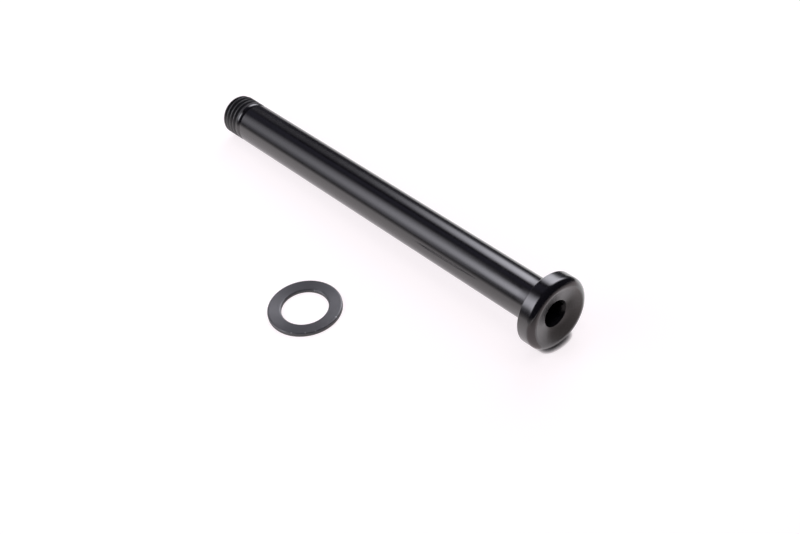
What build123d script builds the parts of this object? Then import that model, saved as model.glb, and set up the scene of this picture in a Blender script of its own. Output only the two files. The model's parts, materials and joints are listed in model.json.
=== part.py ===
from build123d import *
import os
from math import atan2, cos, radians, sin, tan

# A 12 mm bicycle thru axle and its head washer, laid on a bench with the washer taken off.
# Millimetres, +Z up. The bench is Z = 0 and the axle lies along X with its head at +X.
# The origin is the middle of the floor area that the axle and the washer take up together.

# Shaft and threaded end, lengths along the axle from the head's seat
shaft_diameter = 11.95
shaft_length = 121.6
shaft_chamfer = 0.4
relief_diameter = 10.0
relief_width = 0.8
thread_diameter = 12.0
thread_length = 7.8
tip_chamfer = 0.55
tip_chamfer_length = 0.8

# Head
head_diameter = 20.3
head_height = 5.05
head_rounding = 2.0
head_edge_break = 0.25
seat_fillet = 0.4
dish_depth = 1.45
dish_lip_fillet = 1.2

# Hex socket for a key, and the bore that runs on from it through the tip
key_size = 6.0
key_clearance = 0.05
socket_depth = 8.0
socket_entry_diameter = 7.7
socket_entry_angle = 60.0
socket_clocking = 54.0
bore_diameter = 5.5
bore_tip_chamfer = 0.3

# Washer, placed from the head's seat: towards the tip, and aside from the head
washer_diameter = 20.2
washer_thickness = 1.05
washer_clearance = 0.4
washer_edge_rounding = 0.35
washer_edge_break = 0.1
washer_towards_tip = 53.5
washer_gap = 16.15

# Radii and stations that follow from the sizes
shaft_radius = shaft_diameter / 2
relief_radius = relief_diameter / 2
thread_radius = thread_diameter / 2
head_radius = head_diameter / 2
washer_radius = washer_diameter / 2
tip_radius = thread_radius - tip_chamfer
bore_radius = bore_diameter / 2
entry_radius = socket_entry_diameter / 2
entry_depth = (entry_radius - bore_radius) / tan(radians(socket_entry_angle / 2))
crest_radius = head_radius - head_rounding
rim_width = head_height - head_rounding
dish_floor = dish_depth - head_height
relief_start = shaft_length
relief_end = relief_start + relief_width
thread_start = relief_end + thread_radius - relief_radius
axle_length = relief_end + thread_length
hex_across_flats = key_size + 2 * key_clearance
washer_bore_radius = thread_radius + washer_clearance
washer_aside = head_radius + washer_gap + washer_radius

# The axle rests on the seat-side edge of its head and on the last full crest of its thread
rest_span = axle_length - tip_chamfer_length + head_edge_break
rest_tilt = atan2(head_radius - thread_radius, rest_span)
along = Vector(-cos(rest_tilt), 0, -sin(rest_tilt))

# Place of the head's seat on the axle's axis, with the whole set centred on the origin
front_reach = rim_width * cos(rest_tilt) + crest_radius * sin(rest_tilt) + head_rounding
tip_reach = axle_length * cos(rest_tilt) + tip_radius * sin(rest_tilt)
seat_x = (tip_reach - front_reach) / 2
seat_y = (washer_aside + washer_radius - head_radius) / 2
seat_z = head_radius * cos(rest_tilt) - head_edge_break * sin(rest_tilt)
seat = Vector(seat_x, seat_y, seat_z)

axle_axis = Axis(seat, along)
lengthwise = Plane(origin=seat, x_dir=along, z_dir=(0, 1, 0))
crosswise = Plane(origin=seat, x_dir=(0, 1, 0), z_dir=along)


# Axle: one turned profile from the dished head to the threaded tip, then the socket and the bore
with BuildPart() as axle:
    with BuildSketch(lengthwise) as profile:
        with BuildLine():
            rounding_top = (-head_height, crest_radius)
            rounding_end = (-rim_width, head_radius)
            Polyline((dish_floor, 0), (dish_floor, entry_radius), rounding_top)
            RadiusArc(rounding_top, rounding_end, head_rounding)
            Polyline(
                rounding_end,
                (-head_edge_break, head_radius),
                (0, head_radius - head_edge_break),
                (0, shaft_radius),
                (relief_start - shaft_chamfer, shaft_radius),
                (relief_start, shaft_radius - shaft_chamfer),
                (relief_start, relief_radius),
                (relief_end, relief_radius),
                (thread_start, thread_radius),
                (axle_length - tip_chamfer_length, thread_radius),
                (axle_length, tip_radius),
                (axle_length, 0),
                (dish_floor, 0),
            )
        make_face()
        fillet(profile.vertices().sort_by_distance(rounding_top)[0], dish_lip_fillet)
        fillet(profile.vertices().sort_by_distance((0, shaft_radius))[0], seat_fillet)
    revolve(axis=axle_axis)

    with BuildSketch(crosswise.offset(dish_floor)):
        RegularPolygon(hex_across_flats / 2, 6, major_radius=False, rotation=socket_clocking)
    extrude(amount=socket_depth, mode=Mode.SUBTRACT)

    with BuildSketch(lengthwise):
        with BuildLine():
            Polyline(
                (dish_floor, 0),
                (dish_floor, entry_radius),
                (dish_floor + entry_depth, bore_radius),
                (axle_length - bore_tip_chamfer, bore_radius),
                (axle_length, bore_radius + bore_tip_chamfer),
                (axle_length, 0),
                (dish_floor, 0),
            )
        make_face()
    revolve(axis=axle_axis, mode=Mode.SUBTRACT)

# Washer: a flat ring with its rounded edges up, lying on the bench
washer_place = Plane.XY.move(Location((seat_x - washer_towards_tip, seat_y - washer_aside, 0)))
with BuildPart() as washer:
    with BuildSketch(washer_place):
        Circle(washer_radius)
        Circle(washer_bore_radius, mode=Mode.SUBTRACT)
    extrude(amount=washer_thickness)
    fillet(washer.faces().sort_by(Axis.Z)[-1].edges(), washer_edge_rounding)
    chamfer(washer.faces().sort_by(Axis.Z)[0].edges(), washer_edge_break)

os.makedirs("parts", exist_ok=True)
axle.part.label = "axle"
washer.part.label = "washer"
export_step(axle.part, "parts/axle.step")
export_step(washer.part, "parts/washer.step")
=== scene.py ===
import json
import logging
from bisect import bisect_right
from dataclasses import dataclass
from enum import Enum
from math import acos, atan2, ceil, cos, pi, radians, sin, sqrt, tan

import bmesh
import bpy
from mathutils import Matrix, Vector


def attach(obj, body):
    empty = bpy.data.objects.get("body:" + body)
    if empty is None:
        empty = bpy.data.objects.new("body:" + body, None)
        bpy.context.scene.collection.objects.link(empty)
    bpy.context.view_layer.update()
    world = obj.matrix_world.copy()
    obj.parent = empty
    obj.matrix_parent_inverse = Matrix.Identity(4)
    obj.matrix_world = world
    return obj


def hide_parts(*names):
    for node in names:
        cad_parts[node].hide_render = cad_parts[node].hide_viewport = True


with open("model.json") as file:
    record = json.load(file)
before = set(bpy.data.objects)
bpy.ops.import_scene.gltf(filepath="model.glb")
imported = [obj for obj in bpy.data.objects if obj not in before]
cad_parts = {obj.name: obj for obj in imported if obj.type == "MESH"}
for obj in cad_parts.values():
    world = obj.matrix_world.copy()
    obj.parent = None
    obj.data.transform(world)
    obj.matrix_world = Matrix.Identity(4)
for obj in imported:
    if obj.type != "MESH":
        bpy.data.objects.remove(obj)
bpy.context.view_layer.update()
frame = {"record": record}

# A 12 mm bicycle thru axle with its head washer beside it, on a white bench between two softboxes.
# Metres, +Z up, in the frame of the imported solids: the axle lies along X with its head at +X.

MM = 0.001
BODY = "root"
WELD = 1e-7
SHARP_ANGLE = radians(32)
NOISE_RANGE = (0.3, 0.7)

Point = tuple[float, float]
Place = tuple[float, float, float]
Color = tuple[float, float, float]
Stops = tuple[Point, ...]
Socket = bpy.types.NodeSocket

log = logging.getLogger("thru_axle")


class Sight(Enum):
    """What can see a studio panel."""

    LIGHT_AND_GLOSS = "light and gloss"
    GLOSS_ONLY = "gloss only"


def mount(name: str) -> dict:
    """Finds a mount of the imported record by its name, with its place in metres and its axis."""
    return next(entry for entry in frame["record"]["mounts"] if entry["name"] == name)


def round_corner(before: Point, corner: Point, after: Point, radius: float, steps: int) -> list[Point]:
    """Rounds one corner of an outline.

    Args:
        before: The point that the outline comes from.
        corner: The sharp corner.
        after: The point that the outline goes to.
        radius: Radius of the rounding.
        steps: How many chords the arc has.

    Returns:
        The points of the arc, from the first straight to the second.
    """
    at = Vector(corner)
    to_before = (Vector(before) - at).normalized()
    to_after = (Vector(after) - at).normalized()
    half = acos(max(-1.0, min(1.0, to_before.dot(to_after)))) / 2
    middle = (to_before + to_after).normalized()
    center = at + middle * (radius / sin(half))
    start = at + to_before * (radius / tan(half)) - center
    end = at + to_after * (radius / tan(half)) - center
    sweep = pi - 2 * half
    arc = []
    for step in range(steps + 1):
        share = step / steps
        spoke = (start * sin((1 - share) * sweep) + end * sin(share * sweep)) / sin(sweep)
        arc.append(tuple(center + spoke))
    return arc


def arc_points(center: Point, radius: float, start: float, end: float, steps: int) -> list[Point]:
    """Divides an arc of an outline.

    Args:
        center: Center of the arc, as station and radius from the axis.
        radius: Radius of the arc.
        start: Angle of its first point, in radians from the station direction.
        end: Angle of its last point.
        steps: How many chords it has.

    Returns:
        The points of the arc with both ends.
    """
    turn = (end - start) / steps
    angles = [start + turn * step for step in range(steps + 1)]
    return [(center[0] + radius * cos(angle), center[1] + radius * sin(angle)) for angle in angles]


def straight(start: Point, end: Point, steps: int) -> list[Point]:
    """Divides a straight stretch of an outline into steps, and leaves out its first point."""
    shares = [step / steps for step in range(1, steps + 1)]
    return [tuple(Vector(start).lerp(Vector(end), share)) for share in shares]


def finished_mesh(name: str, rings: list[list[Vector]], shift_at: dict[int, int]) -> bpy.types.Mesh:
    """Joins rings of points into one closed skin, the last ring back to the first.

    Args:
        name: Name of the mesh.
        rings: The rings, each with as many points.
        shift_at: For a ring on a helix, the ring that it runs on into after a full turn.

    Returns:
        The closed mesh, smooth but for its sharp edges.
    """
    skin = bmesh.new()
    points = [[skin.verts.new(point) for point in ring] for ring in rings]
    columns = len(rings[0])
    for row in range(len(rings)):
        below = (row + 1) % len(rings)
        for column in range(columns):
            beside = (column + 1) % columns
            next_row, next_below = row, below
            if beside == 0:
                next_row = shift_at.get(row, row)
                next_below = shift_at.get(below, below)
            corners = [
                points[row][column],
                points[next_row][beside],
                points[next_below][beside],
                points[below][column],
            ]
            if len(set(corners)) > 2:
                skin.faces.new(list(dict.fromkeys(corners)))
    bmesh.ops.remove_doubles(skin, verts=skin.verts, dist=WELD)
    bmesh.ops.dissolve_degenerate(skin, edges=skin.edges, dist=WELD)
    bmesh.ops.recalc_face_normals(skin, faces=skin.faces)
    mesh = bpy.data.meshes.new(name)
    skin.to_mesh(mesh)
    skin.free()
    mesh.shade_smooth()
    mesh.set_sharp_from_angle(angle=SHARP_ANGLE)
    return mesh


def add_piece(name: str, mesh: bpy.types.Mesh) -> bpy.types.Object:
    """Puts a mesh into the scene.

    Args:
        name: Name of the object.
        mesh: Its mesh, with its points in the shared frame.

    Returns:
        The new object, at the origin.
    """
    piece = bpy.data.objects.new(name, mesh)
    bpy.context.scene.collection.objects.link(piece)
    return piece


class Nodes:
    """A new material's node tree, with a short way to add and link nodes."""

    def __init__(self, name: str) -> None:
        """Makes an empty node material.

        Args:
            name: The material's name.
        """
        self.material = bpy.data.materials.new(name)
        self.material.use_nodes = True
        self.tree = self.material.node_tree
        self.tree.nodes.clear()
        self.output = self.tree.nodes.new("ShaderNodeOutputMaterial")

    def add(self, kind: str, **settings: object) -> bpy.types.Node:
        """Adds a node.

        Args:
            kind: The node's type.
            **settings: Properties of the node.

        Returns:
            The new node.
        """
        node = self.tree.nodes.new(kind)
        for key, value in settings.items():
            setattr(node, key, value)
        return node

    def link(self, start: Socket, end: Socket) -> None:
        """Links an output to an input."""
        self.tree.links.new(start, end)

    def noise(self, place: Socket, scale: float, detail: float) -> Socket:
        """Adds a noise pattern.

        Args:
            place: The coordinates that it follows.
            scale: How many features a metre holds.
            detail: How many finer layers it has.

        Returns:
            Its value, about 0.5 on average.
        """
        node = self.add("ShaderNodeTexNoise")
        node.inputs["Scale"].default_value = scale
        node.inputs["Detail"].default_value = detail
        self.link(place, node.inputs["Vector"])
        return node.outputs["Fac"]

    def own_place(self, frame_of_piece: Matrix) -> Socket:
        """Gives coordinates in a piece's own frame.

        Args:
            frame_of_piece: Where that frame lies in the shared frame.

        Returns:
            The coordinates, in metres.
        """
        node = self.add("ShaderNodeMapping", vector_type="TEXTURE")
        node.inputs["Location"].default_value = frame_of_piece.translation
        node.inputs["Rotation"].default_value = frame_of_piece.to_euler()
        self.link(self.add("ShaderNodeTexCoord").outputs["Object"], node.inputs["Vector"])
        return node.outputs["Vector"]

    def ramp(self, share: Socket, stops: Stops) -> Socket:
        """Lays a curve of straight stretches over a value between 0 and 1.

        Args:
            share: The value.
            stops: Where the stretches meet, each with its level between 0 and 1.

        Returns:
            The level.
        """
        node = self.add("ShaderNodeValToRGB")
        elements = node.color_ramp.elements
        while len(elements) < len(stops):
            elements.new(1.0)
        for element, (position, level) in zip(elements, stops):
            element.position = position
            element.color = (level, level, level, 1.0)
        self.link(share, node.inputs["Fac"])
        return node.outputs["Color"]

    def axes(self, place: Socket) -> tuple[Socket, Socket, Socket]:
        """Splits coordinates.

        Args:
            place: The coordinates.

        Returns:
            X, Y and Z.
        """
        node = self.add("ShaderNodeSeparateXYZ")
        self.link(place, node.inputs["Vector"])
        return tuple(node.outputs)

    def length(self, place: Socket) -> Socket:
        """Measures how far a place is from the origin.

        Args:
            place: The coordinates.

        Returns:
            The distance.
        """
        node = self.add("ShaderNodeVectorMath", operation="LENGTH")
        self.link(place, node.inputs[0])
        return node.outputs["Value"]

    def stretch(self, place: Socket, scale: Place) -> Socket:
        """Scales coordinates, to draw a pattern out along a direction or to leave one out.

        Args:
            place: The coordinates.
            scale: What each of them is multiplied by.

        Returns:
            The new coordinates.
        """
        node = self.add("ShaderNodeMapping")
        node.inputs["Scale"].default_value = scale
        self.link(place, node.inputs["Vector"])
        return node.outputs["Vector"]

    def remap(self, value: Socket, start: Point, end: Point) -> Socket:
        """Maps one range of a value to another.

        Args:
            value: The value.
            start: Its lowest and highest value that matter.
            end: What these become.

        Returns:
            The new value, held within its range.
        """
        node = self.add("ShaderNodeMapRange", clamp=True)
        node.inputs["From Min"].default_value = start[0]
        node.inputs["From Max"].default_value = start[1]
        node.inputs["To Min"].default_value = end[0]
        node.inputs["To Max"].default_value = end[1]
        self.link(value, node.inputs["Value"])
        return node.outputs["Result"]

    def math(self, operation: str, *values: Socket | float) -> Socket:
        """Works out one value from others.

        Args:
            operation: The sum to do, by Blender's name.
            *values: The values that it takes, linked or plain.

        Returns:
            The result.
        """
        node = self.add("ShaderNodeMath", operation=operation)
        for socket, value in zip(node.inputs, values):
            if isinstance(value, (int, float)):
                socket.default_value = value
            else:
                self.link(value, socket)
        return node.outputs["Value"]

    def mix(self, share: Socket, first: Color, second: Color) -> Socket:
        """Mixes two colours by a varying share.

        Args:
            share: How much of the second colour there is.
            first: The colour at 0.
            second: The colour at 1.

        Returns:
            The mixed colour.
        """
        ramp = self.add("ShaderNodeValToRGB")
        ramp.color_ramp.elements[0].color = (*first, 1.0)
        ramp.color_ramp.elements[1].color = (*second, 1.0)
        self.link(share, ramp.inputs["Fac"])
        return ramp.outputs["Color"]

    def glow(self, color: Color, strength: Socket) -> Socket:
        """Adds an emission of one colour.

        Args:
            color: The colour.
            strength: How strong it is at each place.

        Returns:
            The emission.
        """
        node = self.add("ShaderNodeEmission")
        node.inputs["Color"].default_value = (*color, 1.0)
        self.link(strength, node.inputs["Strength"])
        return node.outputs["Emission"]

    def bump(self, shader: bpy.types.Node, pattern: Socket, height: float) -> None:
        """Gives a shader's surface a fine relief.

        Args:
            shader: The shader.
            pattern: The relief, between 0 and 1.
            height: How high the relief is.
        """
        node = self.add("ShaderNodeBump")
        node.inputs["Distance"].default_value = height
        self.link(pattern, node.inputs["Height"])
        self.link(node.outputs["Normal"], shader.inputs["Normal"])


@dataclass(frozen=True)
class BlackAnodised:
    """Gloss black anodising on turned aluminium, with faint turning marks, duller where it was cut again.

    The dish lies before a station and inside a radius, the socket and the bore inside a radius, and the
    thread after a station. Each limit is a pair, between which the finish changes over. The socket and the
    bore also shine less than the rest.
    """

    name: str = "black_anodised"
    deep: Color = (0.0030, 0.0026, 0.0038)
    pale: Color = (0.0046, 0.0040, 0.0058)
    refraction: float = 1.85
    roughness: Point = (0.13, 0.19)
    dish_roughness: float = 0.06
    dish_station: Point = (-3.5 * MM, -3.3 * MM)
    dish_radius: Point = (7.3 * MM, 8.0 * MM)
    socket_roughness: float = 0.12
    socket_radius: Point = (3.79 * MM, 3.84 * MM)
    socket_gloss: float = 0.15
    plain_gloss: float = 0.5
    thread_roughness: float = 0.3
    thread_station: Point = (122.8 * MM, 123.2 * MM)
    mark_stretch: Place = (1.0, 0.04, 0.04)
    mark_scale: float = 2600.0
    mark_detail: float = 2.0
    mark_height: float = 0.25e-6
    mark_share: float = 0.5
    cloud_scale: float = 260.0
    cloud_detail: float = 4.0

    def cut_again(self, nodes: Nodes, own: Socket) -> tuple[Socket, Socket]:
        """Works out how the dish, the socket and the thread differ from the shaft and the rim.

        Args:
            nodes: The finish's material.
            own: Coordinates in the axle's own frame.

        Returns:
            The roughness to add, 0 on the shaft and the rim, and the gloss, which is lower in the socket.
        """
        station, _, _ = nodes.axes(own)
        radius = nodes.length(nodes.stretch(own, (0.0, 1.0, 1.0)))
        in_front = nodes.remap(station, self.dish_station, (self.dish_roughness, 0.0))
        dish = nodes.math("MULTIPLY", in_front, nodes.remap(radius, self.dish_radius, (1.0, 0.0)))
        socket = nodes.remap(radius, self.socket_radius, (self.socket_roughness, 0.0))
        thread = nodes.remap(station, self.thread_station, (0.0, self.thread_roughness))
        roughness = nodes.math("MAXIMUM", nodes.math("MAXIMUM", dish, socket), thread)
        return roughness, nodes.remap(radius, self.socket_radius, (self.socket_gloss, self.plain_gloss))

    def material(self, place: Matrix) -> bpy.types.Material:
        """Builds the finish.

        Args:
            place: The axle's own frame, with X along it.

        Returns:
            A node material, with its marks round the axle.
        """
        nodes = Nodes(self.name)
        own = nodes.own_place(place)
        shader = nodes.add("ShaderNodeBsdfPrincipled")
        shader.inputs["IOR"].default_value = self.refraction

        marks = nodes.noise(nodes.stretch(own, self.mark_stretch), self.mark_scale, self.mark_detail)
        clouds = nodes.noise(own, self.cloud_scale, self.cloud_detail)
        rest = nodes.math("MULTIPLY", clouds, 1.0 - self.mark_share)
        both = nodes.math("MULTIPLY_ADD", marks, self.mark_share, rest)
        gloss = nodes.remap(both, NOISE_RANGE, self.roughness)
        extra, level = self.cut_again(nodes, own)
        nodes.link(nodes.math("ADD", gloss, extra), shader.inputs["Roughness"])
        nodes.link(level, shader.inputs["Specular IOR Level"])
        nodes.link(nodes.mix(clouds, self.deep, self.pale), shader.inputs["Base Color"])
        nodes.bump(shader, marks, self.mark_height)
        nodes.link(shader.outputs["BSDF"], nodes.output.inputs["Surface"])
        return nodes.material


@dataclass(frozen=True)
class WasherBlack:
    """Satin black on a turned steel ring, rubbed bare in a few small places along its edges, with one
    painted highlight by the bore.

    The walls are rougher than the face and coloured darker as painted shade, and change over to it between
    two heights.
    """

    name: str = "washer_black"
    deep: Color = (0.032, 0.032, 0.037)
    pale: Color = (0.043, 0.043, 0.049)
    # Painted shade: the walls are coloured darker than the face.
    wall: Color = (0.018, 0.018, 0.021)
    wall_top: Point = (0.64 * MM, 0.9 * MM)
    wall_roughness: float = 0.25
    refraction: float = 2.0
    bare: Color = (0.32, 0.32, 0.33)
    roughness: Point = (0.30, 0.36)
    anisotropy: float = 0.6
    groove_scale: float = 5200.0
    groove_height: float = 1.0e-6
    cloud_scale: float = 420.0
    cloud_detail: float = 5.0

    def material(self, place: Matrix) -> bpy.types.Material:
        """Builds the finish.

        Args:
            place: The washer's own frame, with Z along its axis.

        Returns:
            A node material, with its grooves round the washer.
        """
        nodes = Nodes(self.name)
        own = nodes.own_place(place)
        shader = nodes.add("ShaderNodeBsdfPrincipled")
        shader.inputs["Anisotropic"].default_value = self.anisotropy
        shader.inputs["IOR"].default_value = self.refraction
        spoke = nodes.stretch(own, (1.0, 1.0, 0.0))
        outwards = nodes.add("ShaderNodeVectorMath", operation="NORMALIZE")
        nodes.link(spoke, outwards.inputs[0])
        nodes.link(outwards.outputs["Vector"], shader.inputs["Tangent"])

        _, _, height = nodes.axes(own)
        face = nodes.remap(height, self.wall_top, (0.0, 1.0))
        clouds = nodes.noise(own, self.cloud_scale, self.cloud_detail)
        rough_wall = nodes.remap(face, (0.0, 1.0), (self.wall_roughness, 0.0))
        gloss = nodes.math("ADD", nodes.remap(clouds, NOISE_RANGE, self.roughness), rough_wall)
        nodes.link(gloss, shader.inputs["Roughness"])
        # Painted shade: a darker colour on the walls, below the face.
        black = nodes.add("ShaderNodeMix", data_type="RGBA")
        black.inputs["A"].default_value = (*self.wall, 1.0)
        nodes.link(face, black.inputs["Factor"])
        nodes.link(nodes.mix(clouds, self.deep, self.pale), black.inputs["B"])

        # Bare metal at the nicks, and at the last one a painted highlight.
        bare_and_glint = nodes.add("ShaderNodeAttribute", attribute_name=Washer.WEAR_AND_GLINT).outputs["Fac"]
        ground = nodes.add("ShaderNodeMix", data_type="RGBA")
        nodes.link(bare_and_glint, ground.inputs["Factor"])
        nodes.link(black.outputs["Result"], ground.inputs["A"])
        ground.inputs["B"].default_value = (*self.bare, 1.0)
        nodes.link(ground.outputs["Result"], shader.inputs["Base Color"])
        nodes.link(bare_and_glint, shader.inputs["Metallic"])

        grooves = nodes.add("ShaderNodeTexNoise", noise_dimensions="1D")
        grooves.inputs["Scale"].default_value = self.groove_scale
        nodes.link(nodes.length(spoke), grooves.inputs["W"])
        nodes.bump(shader, grooves.outputs["Fac"], self.groove_height)
        nodes.link(shader.outputs["BSDF"], nodes.output.inputs["Surface"])
        return nodes.material


@dataclass
class Thread:
    """A right-hand metric thread with rounded roots and softened crests.

    Its first groove runs in between two angles round the axle, so the thread starts from a plain land.
    """

    radius: float = 6.0 * MM
    pitch: float = 1.5 * MM
    crest_station: float = 123.67 * MM
    crest_flat: float = 0.375 * MM
    crest_break: float = 0.12 * MM
    flank_angle: float = radians(30)
    root_share: float = 0.1443
    run_in: Point = (radians(120), radians(276))
    crest_steps: int = 2
    flank_steps: int = 2
    root_steps: int = 3

    def half_form(self) -> list[Point]:
        """Draws half a groove from the middle of a crest to the middle of a root.

        Returns:
            Distance from the crest and radius from the axis, point by point.
        """
        middle = (0.0, self.radius)
        edge = (self.crest_flat / 2, self.radius)
        root_round = self.pitch * self.root_share
        sharp_root = self.radius - (self.pitch / 2 - edge[0]) / tan(self.flank_angle)
        root_center = (self.pitch / 2, sharp_root + root_round / sin(self.flank_angle))
        root = arc_points(root_center, root_round, pi + self.flank_angle, 1.5 * pi, self.root_steps)
        crest = round_corner(middle, edge, root[0], self.crest_break, self.crest_steps)
        return [middle, *crest, *straight(crest[-1], root[0], self.flank_steps), *root[1:]]

    def form(self) -> list[Point]:
        """Draws one whole pitch, crest to crest, without the second crest.

        Returns:
            Distance from the crest and radius from the axis, point by point.
        """
        half = self.half_form()
        back = [(self.pitch - place, radius) for place, radius in reversed(half[1:-1])]
        return half + back

    def radius_at(self, station: float, angle: float, form: list[Point]) -> float:
        """Gives the thread's radius at a place.

        Args:
            station: Distance along the axle from the head's seat.
            angle: Angle round the axle, from the top towards the near side.
            form: One pitch of the thread, as form() gives it.

        Returns:
            The radius from the axis.
        """
        from_start = station + self.pitch * angle / (2 * pi) - self.crest_station
        place = from_start % self.pitch
        row = bisect_right([entry[0] for entry in form], place) - 1
        start = form[row]
        end = form[row + 1] if row + 1 < len(form) else (self.pitch, self.radius)
        share = (place - start[0]) / (end[0] - start[0])
        depth = self.radius - start[1] - (end[1] - start[1]) * share
        if from_start < 0:
            depth *= max(0.0, (angle - self.run_in[0]) / (self.run_in[1] - self.run_in[0]))
        return self.radius - depth


@dataclass
class Axle:
    """The axle in one piece: dished head, hex socket, plain shaft, relief groove and threaded tip.

    Stations run along the axle from the head's seat towards the tip, so the head has negative ones.
    """

    columns: int = 264
    shaft_radius: float = 5.975 * MM
    shaft_length: float = 121.6 * MM
    shaft_chamfer: float = 0.35 * MM
    relief_radius: float = 5.4 * MM
    relief_width: float = 0.8 * MM
    relief_flat: float = 0.25 * MM
    thread_length: float = 7.8 * MM
    lead_angle: float = radians(60)
    lead_rounding: float = 1.4 * MM
    tip_chamfer: float = 0.6 * MM
    tip_chamfer_length: float = 0.95 * MM
    head_radius: float = 10.15 * MM
    head_height: float = 5.05 * MM
    head_rounding: float = 2.0 * MM
    head_edge_break: float = 0.25 * MM
    seat_fillet: float = 0.4 * MM
    dish_depth: float = 1.45 * MM
    dish_lip: float = 1.2 * MM
    hex_across_flats: float = 6.1 * MM
    hex_corner: float = radians(-84)
    socket_depth: float = 8.0 * MM
    entry_radius: float = 3.85 * MM
    entry_angle: float = radians(60)
    bore_radius: float = 2.75 * MM
    bore_chamfer: float = 0.3 * MM
    soft_edge: float = 0.06 * MM
    dish_steps: int = 8
    lip_steps: int = 10
    rounding_steps: int = 20
    rim_steps: int = 4
    edge_steps: int = 3
    seat_steps: int = 5
    fillet_steps: int = 6
    shaft_rows: int = 24
    groove_steps: int = 4
    tip_steps: int = 3
    mouth_steps: int = 2

    def __post_init__(self) -> None:
        """Works out the stations that follow from the sizes."""
        self.thread = Thread()
        self.dish_floor = self.dish_depth - self.head_height
        self.lead_start = self.shaft_length + self.relief_flat
        self.length = self.shaft_length + self.relief_width + self.thread_length
        self.socket_end = self.dish_floor + self.socket_depth
        turn = 2 * pi / self.columns
        self.angles = [self.hex_corner + turn * column for column in range(self.columns)]

    def place(self) -> Matrix:
        """Reads from the record where the axle lies.

        Returns:
            The head's seat as a frame: X towards the tip, Z up and Y to the near side.
        """
        socket = mount("hex_socket")
        along = -Vector(socket["axis"]).normalized()
        aside = Vector((0.0, -1.0, 0.0))
        seat = Vector(socket["pos_m"]) - along * self.dish_floor
        turned = Matrix((along, aside, along.cross(aside))).transposed().to_4x4()
        return Matrix.Translation(seat) @ turned

    def head_outline(self) -> list[Point]:
        """Draws the head from the socket's mouth over the dish, the lip and the rim to the seat.

        Returns:
            Station and radius, point by point.
        """
        mouth = Vector((self.dish_floor, self.entry_radius))
        crest = Vector((-self.head_height, self.head_radius - self.head_rounding))
        rounding = Vector((self.head_rounding - self.head_height, crest.y))
        slope = (crest - mouth).normalized()
        inwards = Vector((slope.y, -slope.x))
        # The lip touches the dish from behind and the rounding from inside
        start = crest + inwards * self.dish_lip
        offset = start - rounding
        reach = self.head_rounding - self.dish_lip
        drop = sqrt(offset.dot(slope) ** 2 - offset.length_squared + reach**2)
        lip = start + slope * (drop - offset.dot(slope))
        on_dish = lip - inwards * self.dish_lip
        spoke = lip - rounding
        lip_end = atan2(spoke.y, spoke.x)
        lip_start = atan2(on_dish.y - lip.y, on_dish.x - lip.x) % (2 * pi)
        rim_end = (-self.head_edge_break, self.head_radius)
        seat_edge = (0.0, self.head_radius - self.head_edge_break)
        seat_inner = (0.0, self.shaft_radius)
        shaft_end = (self.length, self.shaft_radius)
        points = straight(tuple(mouth), tuple(on_dish), self.dish_steps)
        points += arc_points(tuple(lip), self.dish_lip, lip_start, lip_end, self.lip_steps)[1:]
        turned = arc_points(tuple(rounding), self.head_rounding, lip_end, pi / 2, self.rounding_steps)
        points += turned[1:]
        points += straight(points[-1], (rim_end[0] - self.soft_edge, rim_end[1]), self.rim_steps)
        points += round_corner(points[-1], rim_end, seat_edge, self.soft_edge, self.edge_steps)
        points += round_corner(rim_end, seat_edge, seat_inner, self.soft_edge, self.edge_steps)
        points += straight(points[-1], (0.0, self.shaft_radius + self.seat_fillet), self.seat_steps)[:-1]
        points += round_corner(seat_edge, seat_inner, shaft_end, self.seat_fillet, self.fillet_steps)
        return points

    def shaft_outline(self) -> list[Point]:
        """Draws the shaft, its end chamfer and the relief groove.

        Returns:
            Station and radius, point by point.
        """
        start = (self.seat_fillet, self.shaft_radius)
        chamfer = (self.shaft_length - self.shaft_chamfer, self.shaft_radius)
        step = (self.shaft_length, self.shaft_radius - self.shaft_chamfer)
        groove = (self.shaft_length, self.relief_radius)
        groove_end = (self.lead_start, self.relief_radius)
        points = straight(start, (chamfer[0] - self.soft_edge, chamfer[1]), self.shaft_rows)
        points += round_corner(start, chamfer, step, self.soft_edge, self.edge_steps)
        points += round_corner(chamfer, step, groove, self.soft_edge, self.edge_steps)
        points += round_corner(step, groove, groove_end, 2 * self.soft_edge, self.groove_steps)
        points += straight(points[-1], groove_end, self.groove_steps)[:-1]
        return points

    def thread_envelope(self, station: float) -> float:
        """Gives the outside of the lead-in cone, the full thread or the tip chamfer.

        Args:
            station: Distance along the axle from the head's seat.

        Returns:
            The radius from the axis.
        """
        cone = self.relief_radius + (station - self.lead_start) * tan(self.lead_angle)
        # The cone runs into the full thread over a rounding
        sharp = self.lead_start + (self.thread.radius - self.relief_radius) / tan(self.lead_angle)
        before_flat = sharp + self.lead_rounding * tan(self.lead_angle / 2) - station
        if 0.0 < before_flat < self.lead_rounding * sin(self.lead_angle):
            cone = self.thread.radius - self.lead_rounding
            cone += sqrt(self.lead_rounding**2 - before_flat**2)
        chamfer = self.thread.radius
        into_tip = station - self.length + self.tip_chamfer_length
        if into_tip > 0:
            chamfer -= self.tip_chamfer * into_tip / self.tip_chamfer_length
        return min(max(cone, self.relief_radius), chamfer)

    def thread_rows(self) -> tuple[list[list[Point]], int]:
        """Lays rows along the thread's helix, cut off square at the groove and at the tip.

        Returns:
            The rows, each with station and radius column by column, and how many rows one pitch has.
        """
        form = self.thread.form()
        lead = self.thread.pitch / (2 * pi)
        lowest = self.lead_start + lead * self.angles[0] - self.thread.crest_station
        first_pitch = int(lowest // self.thread.pitch)
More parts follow.
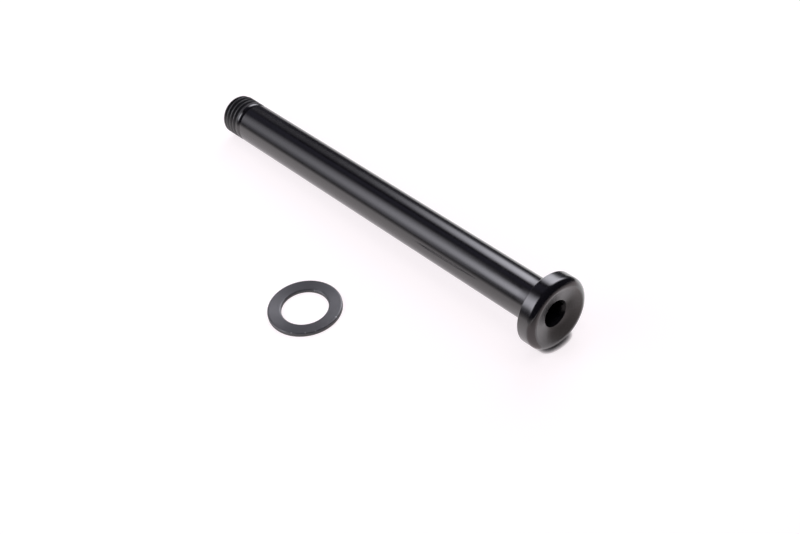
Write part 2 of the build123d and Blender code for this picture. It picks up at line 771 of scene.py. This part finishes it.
        # Two more pitches cover the slant of the rows at both ends
        pitches = ceil(self.thread_length / self.thread.pitch) + 2
        rows = []
        for number in range(first_pitch, first_pitch + pitches):
            for offset, _ in form:
                base = self.thread.crest_station + number * self.thread.pitch + offset
                row = []
                for angle in self.angles:
                    station = min(max(base - lead * angle, self.lead_start), self.length)
                    cut = self.thread.radius_at(station, angle, form)
                    row.append((station, min(cut, self.thread_envelope(station))))
                rows.append(row)
        return rows, len(form)

    def bore_outline(self) -> list[Point]:
        """Draws the tip's face inside its edge, and the bore back to the socket's end.

        Returns:
            Station and radius, point by point.
        """
        mouth = (self.length, self.bore_radius + self.bore_chamfer)
        inner = (self.length - self.bore_chamfer, self.bore_radius)
        socket_end = (self.socket_end, self.bore_radius)
        outer = (self.length, self.thread.radius - 2 * self.tip_chamfer)
        points = [outer]
        points += straight(outer, (mouth[0], mouth[1] + self.soft_edge), self.tip_steps)[:-1]
        points += round_corner(outer, mouth, inner, self.soft_edge, self.mouth_steps)
        points += [inner, *straight(inner, socket_end, self.shaft_rows)]
        return points

    def hex_radius(self, angle: float) -> float:
        """Gives the hex socket's reach in a direction round the axle."""
        sixth = pi / 3
        return self.hex_across_flats / 2 / cos((angle - self.hex_corner) % sixth - sixth / 2)

    def socket_rows(self) -> list[list[Point]]:
        """Lays rows over the socket's end, up its six flats and out over its entry cone.

        Returns:
            The rows, each with station and radius column by column.
        """
        wall = [self.hex_radius(angle) for angle in self.angles]
        steepness = 1 / tan(self.entry_angle / 2)
        top = [self.dish_floor + (self.entry_radius - reach) * steepness for reach in wall]
        rows = []
        for share in (0.5, 1.0):
            reaches = [self.bore_radius + (reach - self.bore_radius) * share for reach in wall]
            rows.append([(self.socket_end, reach) for reach in reaches])
        for share in (0.3, 0.6, 0.9, 1.0):
            stations = [self.socket_end + (end - self.socket_end) * share for end in top]
            rows.append(list(zip(stations, wall)))
        for share in (0.5, 1.0):
            stations = [end + (self.dish_floor - end) * share for end in top]
            reaches = [reach + (self.entry_radius - reach) * share for reach in wall]
            rows.append(list(zip(stations, reaches)))
        return rows

    def mesh(self) -> bpy.types.Mesh:
        """Builds the whole skin, as one closed mesh.

        Returns:
            The mesh, where the axle lies.
        """
        outline = self.head_outline() + self.shaft_outline()
        rows = [[point] * self.columns for point in outline]
        thread_start = len(rows)
        thread_rows, per_pitch = self.thread_rows()
        rows += thread_rows
        rows += [[point] * self.columns for point in self.bore_outline()]
        rows += self.socket_rows()
        shift_at = {}
        for row in range(thread_start, thread_start + len(thread_rows)):
            shift_at[row] = max(row - per_pitch, thread_start)
        rings = []
        for row in rows:
            ring = []
            for (station, radius), angle in zip(row, self.angles):
                ring.append(Vector((station, radius * sin(angle), radius * cos(angle))))
            rings.append(ring)
        mesh = finished_mesh("axle_skin", rings, shift_at)
        mesh.transform(self.place())
        return mesh

    def build(self, finish: BlackAnodised) -> bpy.types.Object:
        """Makes the axle, dresses it and lets it stand for its solid.

        Args:
            finish: The finish that it wears all over.

        Returns:
            The axle's object.
        """
        piece = add_piece("axle_turned", self.mesh())
        piece.data.materials.append(finish.material(self.place()))
        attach(piece, BODY)
        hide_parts("axle")
        return piece


@dataclass(frozen=True)
class Nick:
    """A small place where the washer is knocked and rubbed bare, seen from above; one of them is a painted
    highlight.
    """

    angle: float
    radius: float
    reach: float
    wear: float = 1.0

    def at(self, point: Vector) -> float:
        """Tells how bare a point is; at the painted highlight, how bright it is.

        Args:
            point: The point, from the washer's middle.

        Returns:
            The wear, which at the painted highlight is its strength; 0 outside the nick.
        """
        middle = Vector((self.radius * cos(self.angle), self.radius * sin(self.angle)))
        away = (point.xy - middle).length / self.reach
        return self.wear * max(0.0, 1.0 - away**2)


@dataclass
class Washer:
    """The ring that seats under the head: its upper face dips slightly to the bore, with a few nicks and
    one painted highlight by the bore.
    """

    WEAR_AND_GLINT = "wear"

    columns: int = 360
    outer_radius: float = 10.1 * MM
    inner_radius: float = 6.4 * MM
    thickness: float = 1.05 * MM
    edge_rounding: float = 0.35 * MM
    edge_break: float = 0.1 * MM
    face_dip: float = 0.13 * MM
    nick_depth: float = 0.04 * MM
    face_rows: int = 14
    wall_rows: int = 2
    edge_steps: int = 6

    def nicks(self) -> list[Nick]:
        """Lists the bare places and the painted highlight.

        Returns:
            The nicks: most along the outer edge, one on the face and one by the bore, and last a painted
                highlight by the bore.
        """
        edge = self.outer_radius - self.edge_rounding
        return [
            Nick(radians(20), edge + 0.04 * MM, 0.34 * MM),
            Nick(radians(-1), edge - 0.03 * MM, 0.22 * MM, 0.45),
            Nick(radians(-8.5), edge - 0.15 * MM, 0.22 * MM, 0.4),
            Nick(radians(-22), edge + 0.04 * MM, 0.25 * MM, 0.8),
            Nick(radians(-38), edge - 0.02 * MM, 0.28 * MM),
            Nick(radians(-60), edge + 0.08 * MM, 0.28 * MM, 0.9),
            Nick(radians(4), edge - 0.67 * MM, 0.24 * MM, 0.35),
            Nick(radians(55), self.inner_radius + 0.48 * MM, 0.24 * MM, 0.45),
            # Painted highlight on the bore's far wall, laid on like a nick.
            Nick(radians(118), self.inner_radius + 0.12 * MM, 0.24 * MM, 0.6),
        ]

    def place(self) -> Matrix:
        """Reads from the record where the washer lies: its middle, on the bench."""
        x, y, _ = mount("washer_bore")["pos_m"]
        return Matrix.Translation((x, y, 0.0))

    def outline(self) -> list[Point]:
        """Draws the ring's section once round, from the top of the bore.

        Returns:
            Height and radius, point by point.
        """
        corners = [
            (self.thickness - self.face_dip, self.inner_radius, self.edge_rounding),
            (self.thickness, self.outer_radius, self.edge_rounding),
            (0.0, self.outer_radius, self.edge_break),
            (0.0, self.inner_radius, self.edge_break),
        ]
        rows = (self.face_rows, self.wall_rows, self.face_rows, self.wall_rows)
        arcs = []
        for index, (*corner, rounding) in enumerate(corners):
            before = corners[index - 1][:2]
            after = corners[(index + 1) % len(corners)][:2]
            arcs.append(round_corner(before, tuple(corner), after, rounding, self.edge_steps))
        points = []
        for index, arc in enumerate(arcs):
            next_arc = arcs[(index + 1) % len(arcs)]
            points += arc + straight(arc[-1], next_arc[0], rows[index])[:-1]
        return points

    def wear_down(self, mesh: bpy.types.Mesh) -> None:
        """Sinks the nicks and the painted highlight into the mesh and marks how bare each point is, and
        how bright at the painted highlight.

        Args:
            mesh: The ring, round the origin.
        """
        nicks = self.nicks()
        bare = mesh.attributes.new(self.WEAR_AND_GLINT, "FLOAT", "POINT")
        normals = [vertex.normal.copy() for vertex in mesh.vertices]
        for vertex, normal, mark in zip(mesh.vertices, normals, bare.data):
            if vertex.co.z < self.thickness / 2:
                continue
            mark.value = max(nick.at(vertex.co) for nick in nicks)
            vertex.co -= normal * self.nick_depth * mark.value

    def mesh(self) -> bpy.types.Mesh:
        """Builds the ring.

        Returns:
            The mesh, where the washer lies.
        """
        rings = []
        turn = 2 * pi / self.columns
        for height, radius in self.outline():
            ring = []
            for column in range(self.columns):
                angle = turn * column
                ring.append(Vector((radius * cos(angle), radius * sin(angle), height)))
            rings.append(ring)
        mesh = finished_mesh("washer_ring", rings, {})
        self.wear_down(mesh)
        mesh.transform(self.place())
        return mesh

    def build(self, finish: WasherBlack) -> bpy.types.Object:
        """Makes the washer, dresses it and lets it stand for its solid.

        Args:
            finish: The finish that it wears all over.

        Returns:
            The washer's object.
        """
        piece = add_piece("washer_flat", self.mesh())
        piece.data.materials.append(finish.material(self.place()))
        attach(piece, BODY)
        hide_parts("washer")
        return piece


@dataclass(frozen=True)
class Panel:
    """A flat studio panel that shows in the gloss, with a glow that changes along and across it.

    The stops are distances from the panel's corner, each with its level: along the span the glow itself,
    and across, up the rise, a share of it.
    """

    name: str
    corner: Place
    span: Place
    rise: Place
    color: Color
    along: Stops
    across: Stops = ()
    sight: Sight = Sight.LIGHT_AND_GLOSS

    def curve(self, nodes: Nodes, share: Socket, edge: Place, stops: Stops) -> Socket:
        """Lays stops along one edge of the panel.

        Args:
            nodes: The panel's material.
            share: How far along the edge a point is, between 0 and 1.
            edge: The edge.
            stops: Distances along it, each with a level.

        Returns:
            The level, as a share of the highest.
        """
        length = Vector(edge).length
        peak = max(level for _, level in stops)
        return nodes.ramp(share, tuple((place / length, level / peak) for place, level in stops))

    def material(self) -> bpy.types.Material:
        """Builds the glow.

        Returns:
            An emission material with the panel's stops.
        """
        nodes = Nodes(self.name)
        along, across, _ = nodes.axes(nodes.add("ShaderNodeTexCoord").outputs["UV"])
        level = self.curve(nodes, along, self.span, self.along)
        if self.across:
            share = self.curve(nodes, across, self.rise, self.across)
            level = nodes.math("MULTIPLY", level, share)
        peak = max(glow for _, glow in self.along)
        strength = nodes.math("MULTIPLY", level, peak)
        nodes.link(nodes.glow(self.color, strength), nodes.output.inputs["Surface"])
        return nodes.material

    def build(self) -> bpy.types.Object:
        """Stands the panel up.

        Returns:
            The panel's object, which the camera doesn't see.
        """
        start, span, rise = Vector(self.corner), Vector(self.span), Vector(self.rise)
        mesh = bpy.data.meshes.new(self.name)
        mesh.from_pydata([start, start + span, start + span + rise, start + rise], [], [(0, 1, 2, 3)])
        shares = mesh.uv_layers.new(name="shares")
        for corner, share in zip(shares.data, ((0.0, 0.0), (1.0, 0.0), (1.0, 1.0), (0.0, 1.0))):
            corner.uv = share
        mesh.materials.append(self.material())
        panel = add_piece(self.name, mesh)
        panel.visible_camera = False
        if self.sight is Sight.GLOSS_ONLY:
            panel.visible_diffuse = False
            panel.visible_shadow = False
        return panel


@dataclass
class Studio:
    """White floor, softboxes beside the axle, low cards and sheets for its gloss, a dark tent and a fill.

    A painted contact shadow holds back the floor's lift. Its reach grows along X over the overhang, to the
    head.
    """

    beside: Vector
    floor_size: float = 5.0
    floor_drop: float = 0.02 * MM
    floor_color: Color = (0.28, 0.265, 0.271)
    floor_lift: float = 0.82
    overhang: Point = (0.04, 0.058)
    contact_reach: Point = (0.05 * MM, 1.45 * MM)
    contact_depth: float = 3.2
    tent_radius: float = 2.4
    tent_glow: Point = (0.095, 0.028)
    tent_color: Color = (0.92, 0.92, 1.25)
    softbox_distance: float = 0.8
    softbox_color: Color = (1.0, 0.985, 1.08)
    card_color: Color = (1.0, 0.95, 0.97)
    shade_color: Color = (1.0, 0.88, 0.9)
    sheet_lift: float = 0.1 * MM
    fill_size: float = 1.6
    fill_height: float = 1.4
    fill_radiance: float = 1.9

    def softbox(self, name: str, lean: float, width: float, along: Stops, across: Stops) -> Panel:
        """Stands a softbox square to the axle.

        Args:
            name: The softbox's name.
            lean: Its angle from overhead, in radians to the far side and negative to the near one.
            width: How wide it is, from its lower edge to its upper one.
            along: Places along X from its tip-side end to its head-side end, each with a glow.
            across: Distances from its lower edge, each with a share of the glow.

        Returns:
            The softbox.
        """
        out = Vector((0.0, sin(lean), cos(lean)))
        rise = Vector((0.0, -cos(lean), sin(lean))) * (width if lean > 0 else -width)
        corner = self.beside + out * self.softbox_distance - rise / 2
        corner.x = along[0][0]
        span = (along[-1][0] - corner.x, 0.0, 0.0)
        stops = tuple((place - corner.x, level) for place, level in along)
        return Panel(name, tuple(corner), span, tuple(rise), self.softbox_color, stops, across)

    def card(self, name: str, aside: float, height: float, ends: Point, across: Stops) -> Panel:
        """Stands a low card along the axle that only gloss sees.

        Args:
            name: The card's name.
            aside: How far beside the axle it stands, negative for the near side.
            height: How high it is.
            ends: X of its ends.
            across: Heights, each with a glow.

        Returns:
            The card.
        """
        peak = max(level for _, level in across)
        length = ends[1] - ends[0]
        corner = (ends[0], self.beside.y + aside, 0.0)
        return Panel(
            name, corner, (length, 0.0, 0.0), (0.0, 0.0, height), self.card_color,
            ((0.0, peak), (length, peak)), across, Sight.GLOSS_ONLY,
        )

    def sheet(
        self, name: str, corner: Point, size: Point, color: Color, along: Stops, across: Stops = ()
    ) -> Panel:
        """Lays a sheet just above the floor that only gloss sees.

        Args:
            name: The sheet's name.
            corner: X and Y of its near corner on the tip's side.
            size: Its length along X and its width along Y.
            color: The colour of its glow.
            along: Distances along X from that corner, each with a glow.
            across: Distances along Y from that corner, each with a share of the glow.

        Returns:
            The sheet.
        """
        span = (size[0], 0.0, 0.0)
        rise = (0.0, size[1], 0.0)
        return Panel(name, (*corner, self.sheet_lift), span, rise, color, along, across, Sight.GLOSS_ONLY)

    def panels(self) -> list[Panel]:
        """Lists what stands round the axle and shows in its gloss.

        Returns:
            The softboxes, the cards along the axle and beyond its tip, the bounce sheets on both sides of
            it as painted reflection of lit floor, and the shades and a card round its head as painted
            shadow on the floor.
        """
        return [
            self.softbox(
                "far_softbox", radians(47), 1.04,
                ((-1.0, 0.13), (-0.77, 0.17), (-0.69, 0.38), (-0.65, 0.8), (-0.555, 2.55), (-0.46, 4.3),
                 (-0.13, 4.3), (-0.04, 2.15), (0.06, 0.0)),
                ((0.0, 0.05), (0.15, 0.13), (0.32, 0.73), (0.42, 0.95), (0.55, 1.0), (0.66, 0.97),
                 (0.75, 0.75), (0.91, 0.06), (0.96, 0.0)),
            ),
            self.softbox(
                "near_softbox", radians(-45), 1.2,
                ((-0.61, 1.87), (-0.56, 1.9), (-0.52, 2.58), (-0.48, 3.2), (-0.46, 3.75), (-0.14, 3.75),
                 (-0.07, 1.9), (0.02, 0.0)),
                ((0.0, 0.0), (0.08, 0.06), (0.23, 0.14), (0.36, 0.7), (0.47, 0.97), (0.54, 1.0),
                 (0.63, 0.96), (0.71, 0.78), (0.95, 0.04), (0.99, 0.0)),
            ),
            self.softbox(
                "near_softbox_tail", radians(-45), 1.34,
                ((-1.05, 0.96), (-0.84, 0.96), (-0.77, 1.17), (-0.69, 1.58), (-0.61, 1.87)),
                ((0.0, 0.2), (0.3, 0.48), (0.43, 0.75), (0.54, 0.96), (0.66, 1.0), (0.77, 0.92),
                 (0.9, 0.75), (1.17, 0.15), (1.34, 0.0)),
            ),
            self.card("far_card", 0.095, 0.019, (-0.6, 0.1), ((0.0, 0.08), (0.019, 0.08))),
            self.card(
                "near_card", -0.08, 0.024, (-1.2, 0.1),
                ((0.0, 0.95), (0.0015, 0.8), (0.0085, 0.46), (0.017, 0.2), (0.024, 0.1)),
            ),
            Panel(
                "tip_card", (-1.5, -0.9, 0.12), (0.0, 1.8, 0.0), (0.0, 0.0, 0.75), (1.0, 0.97, 1.0),
                ((0.0, 0.6), (1.8, 0.6)), (), Sight.GLOSS_ONLY,
            ),
            # Painted reflection: these two sheets glow only in gloss, brightest by the head, in place of
            # lit floor beside the axle.
            self.sheet(
                "far_bounce", (-0.7, 0.033), (0.783, 0.217), (1.0, 0.985, 1.0),
                ((0.0, 0.8), (0.6, 0.86), (0.67, 0.98), (0.72, 1.1), (0.755, 1.25), (0.766, 1.75),
                 (0.772, 1.75), (0.777, 1.4), (0.783, 1.25)),
                ((0.0, 0.72), (0.002, 0.9), (0.005, 1.0), (0.04, 1.0), (0.06, 0.88), (0.217, 0.82)),
            ),
            self.sheet(
                "near_bounce", (-0.7, -0.06), (0.762, 0.068), (1.0, 0.94, 0.965),
                ((0.0, 1.2), (0.64, 1.15), (0.7, 1.05), (0.742, 1.05), (0.75, 1.2), (0.758, 1.25),
                 (0.762, 1.0)),
                ((0.0, 0.95), (0.05, 1.0), (0.06, 1.0), (0.068, 0.95)),
            ),
            # Painted shadow: these two sheets and the low card after them glow only in gloss, darker than
            # the floor, in place of the head's shadow on the floor round its front.
            self.sheet(
                "near_shade", (0.063, -0.12), (0.537, 0.132), self.shade_color,
                ((0.0, 0.82), (0.003, 0.74), (0.019, 0.72), (0.037, 0.54), (0.062, 0.44), (0.112, 0.2),
                 (0.167, 0.1), (0.537, 0.03)),
            ),
            self.sheet(
                "front_shade", (0.083, 0.012), (0.517, 0.588), self.shade_color,
                ((0.0, 0.98), (0.017, 0.75), (0.067, 0.37), (0.092, 0.24), (0.147, 0.1), (0.517, 0.02)),
            ),
            # Painted shadow: a low dark card in front of the head that only gloss sees, in place of the
            # head's shadow on the floor.
            Panel(
                "front_shadow_card", (0.0745, 0.018, 0.0), (0.0, 0.014, 0.0), (0.0, 0.0, 0.0043),
                (1.0, 0.88, 0.87),
                ((0.0, 0.45), (0.004, 0.27), (0.006, 0.34), (0.009, 0.66), (0.012, 1.1), (0.014, 1.1)),
                (), Sight.GLOSS_ONLY,
            ),
        ]

    def floor_material(self) -> bpy.types.Material:
        """Builds the white floor, which keeps shadows and shows as white to the eye and in gloss.

        Returns:
            A matt material with a lift that only camera, glossy and transmission rays see, and that is
            held back by ambient occlusion, as painted contact shadow, where something stands close over
            it.
        """
        nodes = Nodes("white_floor")
        path = nodes.add("ShaderNodeLightPath")
        seen = nodes.math("MAXIMUM", path.outputs["Is Camera Ray"], path.outputs["Is Glossy Ray"])
        seen = nodes.math("MAXIMUM", seen, path.outputs["Is Transmission Ray"])
        along, _, _ = nodes.axes(nodes.add("ShaderNodeTexCoord").outputs["Object"])
        # Painted contact shadow: ambient occlusion darkens the lift, reaching further under the head.
        contact = nodes.add("ShaderNodeAmbientOcclusion")
        nodes.link(nodes.remap(along, self.overhang, self.contact_reach), contact.inputs["Distance"])
        open_share = nodes.math("POWER", contact.outputs["AO"], self.contact_depth)
        seen = nodes.math("MULTIPLY", seen, open_share)
        peak = max(self.floor_color)
        tint = tuple(value / peak for value in self.floor_color)
        lift = nodes.glow(tint, nodes.math("MULTIPLY", seen, self.floor_lift))
        matt = nodes.add("ShaderNodeBsdfDiffuse")
        matt.inputs["Color"].default_value = (*self.floor_color, 1.0)
        both = nodes.add("ShaderNodeAddShader")
        nodes.link(matt.outputs["BSDF"], both.inputs[0])
        nodes.link(lift, both.inputs[1])
        nodes.link(both.outputs["Shader"], nodes.output.inputs["Surface"])
        return nodes.material

    def build_floor(self) -> bpy.types.Object:
        """Lays the floor just under the part.

        Returns:
            The floor's object.
        """
        half = self.floor_size / 2
        corners = [(-half, -half), (half, -half), (half, half), (-half, half)]
        mesh = bpy.data.meshes.new("floor")
        mesh.from_pydata([(x, y, -self.floor_drop) for x, y in corners], [], [(0, 1, 2, 3)])
        mesh.materials.append(self.floor_material())
        floor = add_piece("floor", mesh)
        return floor

    def tent_material(self) -> bpy.types.Material:
        """Builds the tent's faint glow, which fades from the tip's side to the head's.

        Returns:
            An emission material.
        """
        nodes = Nodes("dark_tent")
        along, _, _ = nodes.axes(nodes.add("ShaderNodeTexCoord").outputs["Object"])
        level = nodes.remap(along, (-self.tent_radius / 2, 0.0), self.tent_glow)
        nodes.link(nodes.glow(self.tent_color, level), nodes.output.inputs["Surface"])
        return nodes.material

    def build_tent(self) -> bpy.types.Object:
        """Hangs the dark tent over the set, which the camera doesn't see.

        Returns:
            The tent's object.
        """
        dome = bmesh.new()
        bmesh.ops.create_uvsphere(dome, u_segments=48, v_segments=24, radius=self.tent_radius)
        below = [vert for vert in dome.verts if vert.co.z < -WELD]
        bmesh.ops.delete(dome, geom=below, context="VERTS")
        mesh = bpy.data.meshes.new("tent")
        dome.to_mesh(mesh)
        dome.free()
        mesh.materials.append(self.tent_material())
        tent = add_piece("tent", mesh)
        tent.visible_camera = False
        return tent

    def build_fill(self) -> bpy.types.Object:
        """Hangs a wide soft lamp overhead that doesn't show in gloss.

        Returns:
            The lamp's object.
        """
        lamp = bpy.data.lights.new("overhead_fill", "AREA")
        lamp.size = self.fill_size
        lamp.energy = self.fill_radiance * pi * self.fill_size**2
        fill = bpy.data.objects.new("overhead_fill", lamp)
        bpy.context.scene.collection.objects.link(fill)
        fill.location = (0.0, 0.0, self.fill_height)
        fill.visible_camera = False
        fill.visible_glossy = False
        return fill

    def build_world(self) -> None:
        """Gives the room outside the tent a plain white."""
        world = bpy.data.worlds.new("white_room")
        world.use_nodes = True
        ground = world.node_tree.nodes["Background"]
        ground.inputs["Color"].default_value = (1.0, 1.0, 1.0, 1.0)
        ground.inputs["Strength"].default_value = 1.0
        bpy.context.scene.world = world

    def build(self) -> list[bpy.types.Object]:
        """Sets up the whole studio.

        Returns:
            The studio's objects.
        """
        self.build_world()
        bpy.context.scene.view_settings.view_transform = "Standard"
        pieces = [self.build_floor(), self.build_tent(), self.build_fill()]
        pieces += [panel.build() for panel in self.panels()]
        return pieces


@dataclass(frozen=True)
class Viewpoint:
    """The camera that looks down on the axle from its head's end, on the near side."""

    location: Place = (0.241863, -0.155856, 0.261187)
    heading: float = radians(143.7968)
    down: float = radians(42.9737)
    roll: float = radians(-8.0338)
    lens: float = 63.5133
    sensor: float = 36.0
    nearest: float = 0.02

    def build(self) -> bpy.types.Object:
        """Makes the camera and gives it to the scene.

        Returns:
            The camera's object.
        """
        ahead = Vector((
            cos(self.heading) * cos(self.down),
            sin(self.heading) * cos(self.down),
            -sin(self.down),
        ))
        level = ahead.cross(Vector((0.0, 0.0, 1.0))).normalized()
        upright = level.cross(ahead)
        right = level * cos(self.roll) + upright * sin(self.roll)
        up = upright * cos(self.roll) - level * sin(self.roll)
        data = bpy.data.cameras.new("camera")
        data.sensor_fit = "HORIZONTAL"
        data.sensor_width = self.sensor
        data.lens = self.lens
        data.clip_start = self.nearest
        camera = bpy.data.objects.new("camera", data)
        bpy.context.scene.collection.objects.link(camera)
        turned = Matrix((right, up, -ahead)).transposed().to_4x4()
        camera.matrix_world = Matrix.Translation(self.location) @ turned
        bpy.context.scene.camera = camera
        return camera


def main() -> None:
    """Builds the camera, the studio and the two pieces, and reports each."""
    logging.basicConfig(level=logging.INFO, format="%(message)s")
    axle = Axle()
    washer = Washer()
    log.info("camera: %s", Viewpoint().build().name)
    seat = axle.place().translation
    for piece in Studio(Vector((seat.x, seat.y, 0.0))).build():
        log.info("studio: %s", piece.name)
    for piece in (axle.build(BlackAnodised()), washer.build(WasherBlack())):
        log.info("piece: %s, %d faces", piece.name, len(piece.data.polygons))


if __name__ == "__main__":
    main()
